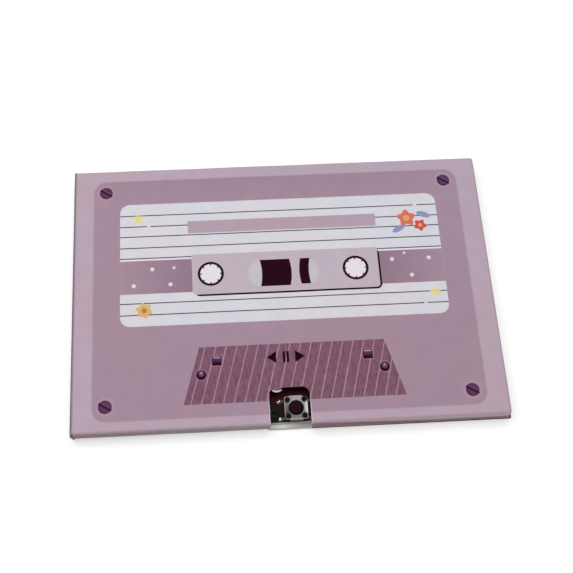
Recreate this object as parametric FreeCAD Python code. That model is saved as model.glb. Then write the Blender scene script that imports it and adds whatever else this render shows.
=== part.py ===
# Recordable greeting card: a thin board cover with a sound module inside it, folded to a back leaf.
# Frame: X along the width, Y from the edge with the finger notch to the far edge, Z up through the
# thickness. The origin is at the centre of the underside of the closed card. Millimetres.
import FreeCAD, Part
import math
import os

# Card
card_width = 108.0
card_depth = 72.0
sheet_thickness = 0.4
back_thickness = 0.5
lining_thickness = 0.15
lining_inset = 0.3
leaf_overhang = 0.8
leaf_margin = 0.1
spine_bulge = 0.3
spine_near_inset = 0.05
spine_far_inset = 0.25
page_thickness = 0.2
page_inset = 0.1
closed_gap = 0.15
core_headroom = 0.05

# Folds between back leaf, spine and cover
fold_radius = 0.25
fold_clearance = 0.05
spine_clearance = 0.15
outer_round = 0.3

# Finger notch
notch_centre_x = -0.4
notch_width = 10.0
notch_depth = 9.4
notch_corner = 1.8

# Circuit board
board_centre_x = 1.0
board_width = 36.0
board_depth = 23.0
board_thickness = 0.8
board_setback = 1.1
pocket_clearance = 0.4
pocket_corner = 1.0

# Key switch in the notch
switch_centre_x = 1.1
switch_setback = 3.3
switch_side = 5.8
switch_base_height = 1.9
switch_floor = 0.5
switch_well_radius = 2.0
plate_thickness = 0.2
plate_hole_radius = 1.85
plate_corner = 0.5
plate_tab_width = 3.2
plate_tab_drop = 1.2
rivet_spacing = 4.15
rivet_radius = 0.5
rivet_head_radius = 0.62
rivet_head_height = 0.15
rivet_clearance = 0.03
dome_radius = 1.8
dome_rise = 0.3
dome_sheet = 0.08
key_radius = 1.75
key_flange_radius = 1.92
key_flange_height = 0.35
key_proud = 0.65
key_travel = 0.25
key_floor_gap = 0.05
key_edge_round = 0.15
leg_width = 0.7
leg_thickness = 0.15
leg_reach = 1.15
leg_spacing = 4.5
leg_rise = 0.7
solder_radius = 0.55
solder_height = 0.3

# Parts on the board
blob_radius = 3.6
blob_height = 1.1
memory_length = 4.9
memory_width = 3.9
memory_height = 1.4
memory_leg_pitch = 1.27
memory_leg_width = 0.4
memory_leg_reach = 1.0
memory_leg_thickness = 0.2
chip_length = 1.6
chip_width = 0.8
resistor_height = 0.45
capacitor_height = 0.8
chip_pitch = 2.2

# Speaker
speaker_radius = 14.0
speaker_left_margin = 6.6
speaker_top_margin = 14.0
flange_width = 1.4
flange_height = 0.5
basket_wall = 0.4
basket_depth = 1.4
pot_radius = 5.2
pot_wall = 0.4
pot_height = 2.1
pot_floor = 0.3
pot_sink = 0.6
magnet_radius = 3.6
magnet_height = 1.1
pole_height = 0.35
coil_gap = 0.3
coil_thickness = 0.25
coil_height = 1.0
cone_sheet = 0.12
cone_rise = 0.45
cone_dip = 0.3
vent_radius = 1.1
vent_count = 6
terminal_width = 1.6
terminal_length = 6.0
terminal_thickness = 0.5

# Microphone
microphone_radius = 3.0
microphone_height = 2.2
microphone_gap = 4.6
microphone_setback = 7.0
microphone_wall = 0.3
felt_thickness = 0.3
felt_inset = 0.5
pin_radius = 0.2
pin_spacing = 1.8

# Button cells and their tray
cell_count = 3
cell_radius = 5.8
cell_height = 3.05
cell_step = 0.25
cell_cap_inset = 1.1
cell_gap = 0.5
cell_clearance = 0.15
tray_floor = 0.2
tray_wall = 0.7
tray_height = 2.4
tray_right_margin = 10.6
tray_centre_y = 4.0
strip_thickness = 0.15
strip_width = 4.0
strip_clearance = 0.05
strip_overlap = 2.4

# Leads
lead_radius = 0.4
lead_spacing = 2.4
lead_inset = 3.0
lead_bend = 4.0
channel_clearance = 0.5
slot_share = 0.55

# Holes in the inner page
sound_hole_radius = 0.75
sound_ring_pitch = 3.0
sound_ring_count = 3
microphone_hole_radius = 0.6

# Levels
page_bottom = back_thickness + lining_thickness + closed_gap
core_bottom = page_bottom + page_thickness
speaker_height = flange_height + basket_depth - pot_sink + pot_height
battery_height = tray_floor + 2 * strip_thickness + cell_height
core_height = max(speaker_height, battery_height) + core_headroom
core_top = core_bottom + core_height
card_thickness = core_top + sheet_thickness
board_top = core_bottom + board_thickness

# Edges
card_right = card_width / 2
card_left = -card_right
card_far = card_depth / 2
card_near = -card_far
core_left = card_left + sheet_thickness + spine_clearance
core_right = card_right - sheet_thickness
core_far = card_far - sheet_thickness
core_near = card_near + sheet_thickness
leaf_right = card_right + leaf_overhang
leaf_far = card_far + leaf_margin
leaf_near = card_near - leaf_margin
fold_x = card_left + fold_radius
spine_near = card_near + spine_near_inset
spine_depth = card_depth - spine_near_inset - spine_far_inset
back_fold_z = fold_radius
cover_fold_z = card_thickness - fold_radius
board_left = board_centre_x - board_width / 2
board_right = board_left + board_width
board_near = card_near + board_setback
board_far = board_near + board_depth
switch_y = board_near + switch_setback
speaker_x = card_left + speaker_left_margin + speaker_radius
speaker_y = card_far - speaker_top_margin - speaker_radius
microphone_x = board_right + microphone_gap + microphone_radius
microphone_y = card_near + microphone_setback
cell_pitch = 2 * cell_radius + cell_gap
well_radius = cell_radius + cell_clearance
tray_width = 2 * (well_radius + tray_wall)
tray_length = (cell_count - 1) * cell_pitch + tray_width
tray_x = card_right - tray_right_margin - tray_width / 2
tray_left = tray_x - tray_width / 2
tray_near = tray_centre_y - tray_length / 2
margin = 1.0


def block(x0, x1, y0, y1, z0, z1):
    """A box between two corners."""
    return Part.makeBox(x1 - x0, y1 - y0, z1 - z0, FreeCAD.Vector(x0, y0, z0))


def disc(x, y, z0, z1, radius):
    """An upright cylinder."""
    return Part.makeCylinder(radius, z1 - z0, FreeCAD.Vector(x, y, z0))


def ring(x, y, z0, z1, inner, outer):
    """An upright ring."""
    return disc(x, y, z0, z1, outer).cut(disc(x, y, z0, z1, inner))


def rounded_block(x0, x1, y0, y1, z0, z1, radius):
    """A box whose upright corners are rounded."""
    shape = block(x0, x1, y0, y1, z0, z1)
    limit = 0.45 * min(x1 - x0, y1 - y0)
    return shape.makeFillet(min(radius, limit), upright_edges(shape))


def upright_edges(shape):
    """The straight edges of a shape that run along Z."""
    found = []
    for edge in shape.Edges:
        ends = [vertex.Point for vertex in edge.Vertexes]
        if len(ends) == 2 and abs(ends[0].x - ends[1].x) < 1e-6 and abs(ends[0].y - ends[1].y) < 1e-6:
            found.append(edge)
    return found


def lathe(profile, x, y):
    """A solid turned about an upright axis from (radius, height) points."""
    points = [FreeCAD.Vector(x + radius, y, height) for radius, height in profile]
    face = Part.Face(Part.makePolygon(points + points[:1]))
    return face.revolve(FreeCAD.Vector(x, y, 0), FreeCAD.Vector(0, 0, 1), 360)


def bead(z):
    """The rounded edge of the spine at a fold, along the whole depth of the spine."""
    start = FreeCAD.Vector(fold_x, spine_near, z)
    return Part.makeCylinder(fold_radius, spine_depth, start, FreeCAD.Vector(0, 1, 0))


def bead_groove(z):
    """The space that a leaf leaves round the rounded edge of the spine."""
    start = FreeCAD.Vector(fold_x, card_near - margin, z)
    reach = card_depth + 2 * margin
    return Part.makeCylinder(fold_radius + fold_clearance, reach, start, FreeCAD.Vector(0, 1, 0))


def route_wire(points):
    """Straight runs joined by tangent arcs, as large as the runs allow."""
    route = [FreeCAD.Vector(*point) for point in points]
    edges = []
    start = route[0]
    for before, corner, after in zip(route, route[1:], route[2:]):
        back = (before - corner).normalize()
        ahead = (after - corner).normalize()
        shorter = min((before - corner).Length, (after - corner).Length)
        inside = back.getAngle(ahead)
        trim = 0.45 * shorter
        bend = trim * math.tan(inside / 2)
        arc_start = corner + back * trim
        arc_end = corner + ahead * trim
        middle = (back + ahead).normalize()
        arc_middle = corner + middle * (bend / math.sin(inside / 2) - bend)
        edges.append(Part.LineSegment(start, arc_start).toShape())
        edges.append(Part.Arc(arc_start, arc_middle, arc_end).toShape())
        start = arc_end
    edges.append(Part.LineSegment(start, route[-1]).toShape())
    return Part.Wire(edges)


def tube(points, radius):
    """A round lead along a route."""
    start = FreeCAD.Vector(*points[0])
    ahead = FreeCAD.Vector(*points[1]) - start
    circle = Part.Wire(Part.Circle(start, ahead, radius).toShape())
    return route_wire(points).makePipeShell([circle], True, False)


def group(shapes):
    """Several separate solids kept as one sub-part."""
    return Part.makeCompound(shapes)


def save(name, shape):
    """Write one sub-part to its own file."""
    os.makedirs("parts", exist_ok=True)
    shape.exportStep("parts/" + name + ".step")


# Back leaf

def back_leaf():
    """The printed board that the closed card lies on."""
    left = max(fold_x, card_left + sheet_thickness + fold_clearance)
    leaf = block(left, leaf_right, leaf_near, leaf_far, 0, back_thickness)
    return leaf.cut(bead_groove(back_fold_z))


def back_lining():
    """The white paper pasted inside the back leaf."""
    left = core_left + lining_inset
    right = leaf_right - lining_inset
    near = leaf_near + lining_inset
    far = leaf_far - lining_inset
    return block(left, right, near, far, back_thickness, back_thickness + lining_thickness)


# Spine

def spine_strip():
    """The narrow board strip between the two folds, bowed outwards, with a rounded edge at each."""
    middle = (back_fold_z + cover_fold_z) / 2
    faces = []
    for x in (card_left, card_left + sheet_thickness):
        low = FreeCAD.Vector(x, spine_near, back_fold_z)
        high = FreeCAD.Vector(x, spine_near, cover_fold_z)
        faces.append((low, FreeCAD.Vector(x - spine_bulge, spine_near, middle), high))
    outer, inner = faces
    outline = Part.Wire([Part.Arc(*outer).toShape(),
                         Part.LineSegment(outer[2], inner[2]).toShape(),
                         Part.Arc(*reversed(inner)).toShape(),
                         Part.LineSegment(inner[0], outer[0]).toShape()])
    strip = Part.Face(outline).extrude(FreeCAD.Vector(0, spine_depth, 0))
    return strip.fuse([bead(back_fold_z), bead(cover_fold_z)]).removeSplitter()


# Cover

def notch_cutter():
    """The finger notch, open towards the near edge, with two rounded inner corners."""
    left = notch_centre_x - notch_width / 2
    right = left + notch_width
    top = card_near + notch_depth
    shape = block(left, right, card_near - margin, top, page_bottom - margin, card_thickness + margin)
    inner = [edge for edge in upright_edges(shape) if abs(edge.Vertexes[0].Point.y - top) < 1e-6]
    return shape.makeFillet(min(notch_corner, 0.45 * notch_width), inner)


def front_cover():
    """The printed sheet: front panel with near, far and right flaps folded down to the page."""
    outer = block(fold_x, card_right, card_near, card_far, core_bottom, card_thickness)
    folds = []
    for edge in outer.Edges:
        centre = edge.CenterOfMass
        on_top = abs(centre.z - card_thickness) < 1e-6
        if on_top and centre.x > fold_x + 1e-6:
            folds.append(edge)
    outer = outer.makeFillet(min(outer_round, 0.75 * sheet_thickness), folds)
    inside = block(fold_x - margin, core_right, core_near, core_far, page_bottom - margin, core_top)
    shape = outer.cut(inside)
    beside_spine = block(fold_x - margin, core_left, card_near - margin, card_far + margin,
                         page_bottom - margin, core_top)
    return shape.cut([beside_spine, bead_groove(cover_fold_z), notch_cutter()])


def speaker_pocket():
    """The round hole in the foam for the speaker."""
    radius = speaker_radius + pocket_clearance
    return disc(speaker_x, speaker_y, core_bottom - margin, core_top + margin, radius)


def pocket(x0, x1, y0, y1):
    """A through hole in the foam with rounded corners and clearance all round."""
    gap = pocket_clearance
    return rounded_block(x0 - gap, x1 + gap, y0 - gap, y1 + gap,
                         core_bottom - margin, core_top + margin, pocket_corner)


def board_pocket():
    """The hole for the circuit board, open towards the near edge and past the switch."""
    return pocket(board_left, board_right, core_near - 2 * margin, board_far)


def trough(points):
    """An upright slot through the foam along a lead's route."""
    reach = max(lead_radius + channel_clearance, slot_share * lead_spacing)
    start = FreeCAD.Vector(*points[0])
    ahead = (FreeCAD.Vector(*points[1]) - start).normalize()
    across = FreeCAD.Vector(-ahead.y, ahead.x, 0) * reach
    low = FreeCAD.Vector(start.x, start.y, core_bottom - margin)
    high = FreeCAD.Vector(start.x, start.y, core_top + margin)
    corners = [low - across, low + across, high + across, high - across]
    outline = Part.makePolygon(corners + corners[:1])
    return route_wire(points).makePipeShell([outline], True, False)


def foam_core():
    """The foam that gives the cover its thickness, cut out round everything it holds.

    Scraps that the cuts leave loose are pushed out, so only the largest solid stays.
    """
    core = block(core_left, core_right, core_near, core_far, core_bottom, core_top)
    microphone_hole = disc(microphone_x, microphone_y, core_bottom - margin, core_top + margin,
                           microphone_radius + pocket_clearance)
    holes = [speaker_pocket(), board_pocket(), microphone_hole]
    holes.append(pocket(tray_left - strip_thickness, tray_left + tray_width,
                        tray_near, tray_near + tray_length))
    strip = speaker_terminals().BoundBox
    holes.append(pocket(speaker_x, strip.XMax, strip.YMin, strip.YMax))
    holes += [trough(route) for route in speaker_routes() + battery_routes() + microphone_routes()]
    return max(core.cut(holes).Solids, key=lambda solid: solid.Volume)


def inner_page():
    """The white card that closes the module, with holes for the speaker and the microphone."""
    page = block(core_left, card_right - page_inset, card_near + page_inset, card_far - page_inset,
                 page_bottom, core_bottom)
    holes = [disc(speaker_x, speaker_y, page_bottom - margin, core_bottom + margin, sound_hole_radius)]
    for row in range(1, sound_ring_count + 1):
        for step in range(6 * row):
            turn = 2 * math.pi * step / (6 * row)
            x = speaker_x + row * sound_ring_pitch * math.cos(turn)
            y = speaker_y + row * sound_ring_pitch * math.sin(turn)
            holes.append(disc(x, y, page_bottom - margin, core_bottom + margin, sound_hole_radius))
    holes.append(disc(microphone_x, microphone_y, page_bottom - margin, core_bottom + margin,
                      microphone_hole_radius))
    return page.cut(holes)


# Circuit board

def circuit_board():
    """The bare board, glued to the inner page."""
    return block(board_left, board_right, board_near, board_far, core_bottom, board_top)


def rivet_places():
    """Centres of the four corner rivets of the switch."""
    reach = rivet_spacing / 2
    return [(switch_centre_x + i * reach, switch_y + j * reach) for i in (-1, 1) for j in (-1, 1)]


def switch_base():
    """The moulded base of the switch: a well for the key and four rivets through the plate."""
    half = switch_side / 2
    top = board_top + switch_base_height
    base = block(switch_centre_x - half, switch_centre_x + half, switch_y - half, switch_y + half,
                 board_top, top)
    base = base.cut(disc(switch_centre_x, switch_y, board_top + switch_floor, top + margin,
                         switch_well_radius))
    head = top + plate_thickness
    for x, y in rivet_places():
        base = base.fuse(disc(x, y, top, head, rivet_radius))
        base = base.fuse(disc(x, y, head, head + rivet_head_height, rivet_head_radius))
    for x, y, side in leg_places():
        inner = x - side * leg_thickness
        x0, x1 = sorted((inner, x + side * margin))
        base = base.cut(block(x0, x1, y - leg_width / 2, y + leg_width / 2, board_top - margin,
                              board_top + leg_rise))
    return base.removeSplitter()


def switch_plate():
    """The metal plate over the base, with a hole for the key and a folded tab on two sides."""
    half = switch_side / 2
    bottom = board_top + switch_base_height
    top = bottom + plate_thickness
    plate = rounded_block(switch_centre_x - half, switch_centre_x + half, switch_y - half,
                          switch_y + half, bottom, top, plate_corner)
    for side in (-1, 1):
        y0, y1 = sorted((switch_y + side * half, switch_y + side * (half + plate_thickness)))
        tab = block(switch_centre_x - plate_tab_width / 2, switch_centre_x + plate_tab_width / 2,
                    y0, y1, bottom - plate_tab_drop, top)
        plate = plate.fuse(tab)
    holes = [disc(switch_centre_x, switch_y, bottom - margin, top + margin, plate_hole_radius)]
    for x, y in rivet_places():
        holes.append(disc(x, y, bottom - margin, top + margin, rivet_radius + rivet_clearance))
    return plate.cut(holes).removeSplitter()


def switch_dome():
    """The domed contact spring on the floor of the well."""
    floor = board_top + switch_floor
    ball = (dome_radius ** 2 + dome_rise ** 2) / (2 * dome_rise)
    centre = floor + dome_rise - ball
    outer = Part.makeSphere(ball, FreeCAD.Vector(switch_centre_x, switch_y, centre))
    inner = Part.makeSphere(ball - dome_sheet, FreeCAD.Vector(switch_centre_x, switch_y, centre))
    shell = outer.cut(inner)
    return shell.common(disc(switch_centre_x, switch_y, floor, floor + 2 * dome_rise, dome_radius))


def key_bottom():
    """Height of the underside of the key at rest."""
    return board_top + switch_floor + dome_rise + key_travel + key_floor_gap


def switch_key():
    """The round black key, kept under the plate by its flange."""
    flange_top = board_top + switch_base_height - key_floor_gap
    flange = disc(switch_centre_x, switch_y, max(key_bottom(), flange_top - key_flange_height),
                  flange_top, key_flange_radius)
    top = board_top + switch_base_height + plate_thickness + key_proud
    stem = disc(switch_centre_x, switch_y, key_bottom(), top, key_radius)
    rim = [edge for edge in stem.Edges if abs(edge.CenterOfMass.z - top) < 1e-6]
    return stem.makeFillet(key_edge_round, rim).fuse(flange).removeSplitter()


def leg_places():
    """Where the four legs leave the base, and to which side."""
    reach = leg_spacing / 2
    half = switch_side / 2
    return [(switch_centre_x + i * half, switch_y + j * reach, i) for i in (-1, 1) for j in (-1, 1)]


def switch_legs():
    """Four flat legs: down the side of the base and out along the board."""
    legs = []
    for x, y, side in leg_places():
        inner = x - side * leg_thickness
        x0, x1 = sorted((inner, x))
        riser = block(x0, x1, y - leg_width / 2, y + leg_width / 2, board_top, board_top + leg_rise)
        x0, x1 = sorted((inner, x + side * leg_reach))
        foot = block(x0, x1, y - leg_width / 2, y + leg_width / 2, board_top, board_top + leg_thickness)
        legs.append(riser.fuse(foot).removeSplitter())
    return group(legs)


def switch_solder():
    """Solder run round the end of each leg."""
    legs = switch_legs()
    joints = []
    for x, y, side in leg_places():
        end = x + side * leg_reach
        cone = Part.makeCone(solder_radius, 0.4 * solder_radius, solder_height,
                             FreeCAD.Vector(end, y, board_top))
        joints.append(cone.cut(legs))
    return group(joints)


def voice_chip():
    """The black resin drop over the bonded sound chip."""
    x = board_left + board_width / 3
    y = board_far - 1.5 * blob_radius
    ball = (blob_radius ** 2 + blob_height ** 2) / (2 * blob_height)
    sphere = Part.makeSphere(ball, FreeCAD.Vector(x, y, board_top + blob_height - ball))
    return sphere.common(disc(x, y, board_top, board_top + 2 * blob_height, blob_radius))


def memory_centre():
    """Centre of the memory chip on the board."""
    return (board_left + 2 * board_width / 3, board_far - blob_radius - memory_width / 2)


def memory_chip():
    """The memory chip's body, standing on its legs."""
    x, y = memory_centre()
    bottom = board_top + memory_leg_thickness
    return block(x - memory_length / 2, x + memory_length / 2, y - memory_width / 2,
                 y + memory_width / 2, bottom, board_top + memory_height)


def memory_legs():
    """Two rows of flat legs under and beside the memory chip."""
    x, y = memory_centre()
    legs = []
    for side in (-1, 1):
        for step in (-1.5, -0.5, 0.5, 1.5):
            middle = x + step * memory_leg_pitch
            edge = y + side * memory_width / 2
            y0, y1 = sorted((edge - side * memory_leg_reach / 2, edge + side * memory_leg_reach))
            legs.append(block(middle - memory_leg_width / 2, middle + memory_leg_width / 2, y0, y1,
                              board_top, board_top + memory_leg_thickness))
    return group(legs)


def chips(count, x, y, height):
    """A row of small square-ended chips."""
    row = []
    for step in range(count):
        left = x + step * chip_pitch
        row.append(block(left, left + chip_width, y, y + chip_length, board_top, board_top + height))
    return group(row)


def chip_resistors():
    """Resistors in a row near the right end of the board."""
    return chips(4, board_right - 5 * chip_pitch, board_near + board_depth / 4, resistor_height)


def chip_capacitors():
    """Capacitors in a row near the left end of the board."""
    return chips(3, board_left + chip_pitch, board_near + board_depth / 3, capacitor_height)


# Speaker

def basket_top():
    """Height of the upper face of the speaker's basket."""
    return core_bottom + flange_height + basket_depth


def speaker_basket():
    """The pressed basket: a flange glued to the page, a wall, and a vented floor round the pot."""
    inner = speaker_radius - flange_width
    low = core_bottom
    step = core_bottom + flange_height
    top = basket_top()
    under = top - basket_wall
    profile = [(inner, low), (speaker_radius, low), (speaker_radius, step), (inner + basket_wall, step),
               (inner + basket_wall, top), (pot_radius, top), (pot_radius, under), (inner, under)]
    basket = lathe(profile, speaker_x, speaker_y)
    ring_radius = (inner + pot_radius) / 2
    vents = []
    for step in range(vent_count):
        turn = 2 * math.pi * step / vent_count
        vents.append(disc(speaker_x + ring_radius * math.cos(turn),
                          speaker_y + ring_radius * math.sin(turn), under - margin, top + margin,
                          vent_radius))
    return basket.cut(vents)


def pot_bottom():
    """Height of the open end of the magnet pot."""
    return basket_top() - pot_sink


def speaker_pot():
    """The steel pot that closes the magnetic circuit."""
    low = pot_bottom()
    high = low + pot_height
    inner = pot_radius - pot_wall
    profile = [(inner, low), (pot_radius, low), (pot_radius, high), (0, high),
               (0, high - pot_floor), (inner, high - pot_floor)]
    return lathe(profile, speaker_x, speaker_y)


def speaker_magnet():
    """The disc magnet on the floor of the pot."""
    high = pot_bottom() + pot_height - pot_floor
    return disc(speaker_x, speaker_y, high - magnet_height, high, magnet_radius)


def speaker_pole():
    """The steel disc under the magnet."""
    high = pot_bottom() + pot_height - pot_floor - magnet_height
    return disc(speaker_x, speaker_y, high - pole_height, high, magnet_radius)


def cone_crest():
    """Height of the cone's upper face where the coil is glued to it."""
    return core_bottom + flange_height / 2 + cone_rise + cone_sheet


def speaker_coil():
    """The voice coil, standing on the cone in the gap round the magnet."""
    inner = magnet_radius + coil_gap
    low = cone_crest()
    return ring(speaker_x, speaker_y, low, low + coil_height, inner, inner + coil_thickness)


def speaker_cone():
    """The thin film cone: a sloped surround, a flat crest under the coil and a dipped centre."""
    rim = core_bottom + flange_height / 2
    crest = cone_crest() - cone_sheet
    outer = speaker_radius - flange_width
    crest_outer = magnet_radius + 2 * coil_gap + coil_thickness
    crest_inner = magnet_radius
    under = [(outer, rim), (crest_outer, crest), (crest_inner, crest), (0, crest - cone_dip)]
    over = [(radius, height + cone_sheet) for radius, height in reversed(under)]
    return lathe(under + over, speaker_x, speaker_y)


def speaker_terminals():
    """The small board on the speaker's wall that the leads are soldered to."""
    left = speaker_x + speaker_radius - flange_width + basket_wall
    strip = block(left, left + terminal_width, speaker_y - terminal_length / 2,
                  speaker_y + terminal_length / 2, core_bottom + flange_height,
                  core_bottom + flange_height + terminal_thickness)
    return strip.cut(disc(speaker_x, speaker_y, core_bottom, core_top, left - speaker_x))


def speaker_routes():
    """Routes of the two speaker leads, from the terminals to the board."""
    level = max(board_top, core_bottom + flange_height + terminal_thickness) + lead_radius
    start_x = speaker_x + speaker_radius - flange_width + basket_wall + terminal_width / 2
    routes = []
    for index in (0, 1):
        start_y = speaker_y + (0.5 - index) * lead_spacing
        end_x = board_left + lead_inset + (1 - index) * lead_spacing
        end_y = board_far - lead_inset
        routes.append([(start_x, start_y, level), (end_x, start_y, level), (end_x, end_y, level)])
    return routes


# Microphone

def microphone_can():
    """The aluminium can, open towards the page."""
    low = core_bottom + felt_thickness
    can = disc(microphone_x, microphone_y, low, low + microphone_height, microphone_radius)
    return can.cut(disc(microphone_x, microphone_y, low, low + microphone_height - microphone_wall,
                        microphone_radius - microphone_wall))


def microphone_capsule():
    """The capsule pressed into the can."""
    low = core_bottom + felt_thickness
    return disc(microphone_x, microphone_y, low, low + microphone_height - microphone_wall,
                microphone_radius - microphone_wall)


def microphone_felt():
    """The felt disc between the can and the hole in the page."""
    return disc(microphone_x, microphone_y, core_bottom, core_bottom + felt_thickness,
                microphone_radius - felt_inset)


def microphone_routes():
    """Routes of the two bare pins from the board's edge to the top of the can."""
    level = core_bottom + felt_thickness + microphone_height + pin_radius
    near = microphone_y - pin_spacing / 2
    far = microphone_y + pin_spacing / 2
    return [[(board_right - lead_inset, y, level), (microphone_x, y, level)] for y in (near, far)]


def microphone_pins():
    """Two stiff wires that lie on the can and bend down to the board."""
    pins = []
    for start, end in microphone_routes():
        foot = (start[0], start[1], board_top)
        pins.append(tube([foot, start, end], pin_radius))
    return group(pins)


# Battery

def cell_places():
    """Centres of the cells, from the near end of the tray, and which way up each lies."""
    first = tray_centre_y - (cell_count - 1) * cell_pitch / 2
    return [(tray_x, first + step * cell_pitch, step % 2 == 0) for step in range(cell_count)]


def cell_bottom():
    """Height of the underside of the cells."""
    return core_bottom + tray_floor + strip_thickness


def button_cell(place):
    """One button cell, a can with a narrower cap on one face."""
    x, y, cap_up = place
    low = cell_bottom()
    high = low + cell_height
    cap = cell_radius - cell_cap_inset
    if cap_up:
        profile = [(0, low), (cell_radius, low), (cell_radius, high - cell_step),
                   (cap, high - cell_step), (cap, high), (0, high)]
    else:
        profile = [(0, low), (cap, low), (cap, low + cell_step), (cell_radius, low + cell_step),
                   (cell_radius, high), (0, high)]
    return lathe(profile, x, y)


def bottom_strips():
    """Contact strips under the cells: one with a tab at the tray's side, one between two cells."""
    low = core_bottom + tray_floor
    high = low + strip_thickness
    half = strip_width / 2
    places = cell_places()
    x, y, _ = places[0]
    tab_top = board_top + 2 * lead_radius
    strip = block(tray_left - strip_thickness, x + half, y - half, y + half, low, high)
    tab = block(tray_left - strip_thickness, tray_left, y - half, y + half, low, tab_top)
    strips = [strip.fuse(tab).removeSplitter()]
    for index in range(1, cell_count - 1, 2):
        x, y, _ = places[index]
        far = places[index + 1][1]
        strips.append(block(x - half, x + half, y - strip_overlap, far + strip_overlap, low, high))
    return strips


def top_strips():
    """Contact strips over the cells: one between two cells, one with a tab at the tray's side."""
    low = cell_bottom() + cell_height
    high = low + strip_thickness
    half = strip_width / 2
    places = cell_places()
    strips = []
    for index in range(0, cell_count - 1, 2):
        x, y, _ = places[index]
        far = places[index + 1][1]
        strips.append(block(x - half, x + half, y - strip_overlap, far + strip_overlap, low, high))
    x, y, _ = places[-1]
    strip = block(tray_left - strip_thickness, x + half, y - half, y + half, low, high)
    tab = block(tray_left - strip_thickness, tray_left, y - half, y + half, board_top, high)
    strips.append(strip.fuse(tab).removeSplitter())
    return strips


def battery_tray():
    """The moulded tray, with a round well for each cell and slots for the lower strips."""
    low = core_bottom
    tray = rounded_block(tray_left, tray_left + tray_width, tray_near, tray_near + tray_length,
                         low, low + tray_height, pocket_corner)
    cuts = []
    for x, y, _ in cell_places():
        cuts.append(disc(x, y, low + tray_floor, low + tray_height + margin, well_radius))
    gap = strip_clearance
    for strip in bottom_strips():
        box = strip.BoundBox
        cuts.append(block(max(box.XMin, tray_left) - gap, box.XMax + gap, box.YMin - gap, box.YMax + gap,
                          low + tray_floor, low + tray_floor + strip_thickness + gap))
    return tray.cut(cuts)


def battery_routes():
    """Routes of the two battery leads, from the tabs at the tray's side to the board."""
    level = board_top + lead_radius
    places = cell_places()
    start_x = tray_left - strip_thickness
    near_y = places[0][1]
    far_y = places[-1][1]
    black_x = board_right - lead_inset
    red_x = black_x - lead_spacing
    beside_x = start_x - lead_bend
    end_y = board_far - lead_inset
    black = [(start_x, near_y), (black_x, near_y), (black_x, end_y)]
    red = [(start_x, far_y), (beside_x, far_y), (beside_x, near_y + lead_spacing),
           (red_x, near_y + lead_spacing), (red_x, end_y)]
    return [[(x, y, level) for x, y in black], [(x, y, level) for x, y in red]]


save("back_leaf", back_leaf())
save("back_lining", back_lining())
save("spine_strip", spine_strip())
save("front_cover", front_cover())
save("foam_core", foam_core())
save("inner_page", inner_page())
save("circuit_board", circuit_board())
save("switch_base", switch_base())
save("switch_plate", switch_plate())
save("switch_dome", switch_dome())
save("switch_key", switch_key())
save("switch_legs", switch_legs())
save("switch_solder", switch_solder())
save("voice_chip", voice_chip())
save("memory_chip", memory_chip())
save("memory_legs", memory_legs())
save("chip_resistors", chip_resistors())
save("chip_capacitors", chip_capacitors())
save("speaker_basket", speaker_basket())
save("speaker_pot", speaker_pot())
save("speaker_magnet", speaker_magnet())
save("speaker_pole", speaker_pole())
save("speaker_coil", speaker_coil())
save("speaker_cone", speaker_cone())
save("speaker_terminals", speaker_terminals())
save("microphone_can", microphone_can())
save("microphone_capsule", microphone_capsule())
save("microphone_felt", microphone_felt())
save("microphone_pins", microphone_pins())
save("battery_tray", battery_tray())
for number, place in enumerate(cell_places(), 1):
    save("button_cell_" + str(number), button_cell(place))
save("battery_strips_lower", group(bottom_strips()))
save("battery_strips_upper", group(top_strips()))
for name, route in zip(("speaker_lead_red", "speaker_lead_black"), speaker_routes()):
    save(name, tube(route, lead_radius))
for name, route in zip(("battery_lead_black", "battery_lead_red"), battery_routes()):
    save(name, tube(route, lead_radius))
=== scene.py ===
"""A recordable greeting card: printed board cover over a sound module, spine and back leaf."""

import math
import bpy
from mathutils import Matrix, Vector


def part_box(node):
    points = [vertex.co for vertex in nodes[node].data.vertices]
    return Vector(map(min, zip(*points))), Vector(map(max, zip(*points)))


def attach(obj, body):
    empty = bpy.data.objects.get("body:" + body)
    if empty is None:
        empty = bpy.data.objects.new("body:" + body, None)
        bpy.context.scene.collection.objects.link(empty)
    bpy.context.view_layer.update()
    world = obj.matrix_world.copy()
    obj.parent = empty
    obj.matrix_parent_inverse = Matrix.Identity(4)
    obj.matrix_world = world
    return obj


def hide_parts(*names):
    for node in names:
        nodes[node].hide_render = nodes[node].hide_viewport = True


bl_info = {
    "name": "Recordable greeting card",
    "version": (1, 0, 0),
    "blender": (4, 5, 0),
    "location": "3D View > Sidebar > Card",
    "description": "Builds the printed sheet, papers, board and switch of a recordable card",
    "category": "Add Mesh",
}

import bpy
import numpy as np
from bpy.props import FloatProperty, FloatVectorProperty, PointerProperty

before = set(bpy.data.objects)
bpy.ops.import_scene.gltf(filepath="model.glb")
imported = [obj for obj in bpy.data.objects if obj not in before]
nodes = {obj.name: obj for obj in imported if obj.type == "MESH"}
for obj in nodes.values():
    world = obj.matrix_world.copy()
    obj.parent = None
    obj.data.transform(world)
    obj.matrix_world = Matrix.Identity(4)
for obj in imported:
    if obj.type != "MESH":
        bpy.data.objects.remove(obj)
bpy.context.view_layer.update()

MM = 0.001


def in_mm(node):
    """Lowest and highest corner of a CAD node, in millimetres."""
    low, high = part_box(node)
    return np.array(low) / MM, np.array(high) / MM


cover_low, cover_high = in_mm("front_cover")
leaf_low, leaf_high = in_mm("back_leaf")
spine_low, spine_high = in_mm("spine_strip")
board_low, board_high = in_mm("circuit_board")
plate_low, plate_high = in_mm("switch_plate")
solder_low, solder_high = in_mm("switch_solder")
lining_low, lining_high = in_mm("back_lining")
SPINE_BOW = 0.37
NOTCH_LEFT, NOTCH_RIGHT, NOTCH_TOP = -5.4, 4.6, -26.6


# ---------------------------------------------------------------- sizes and colours


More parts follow.
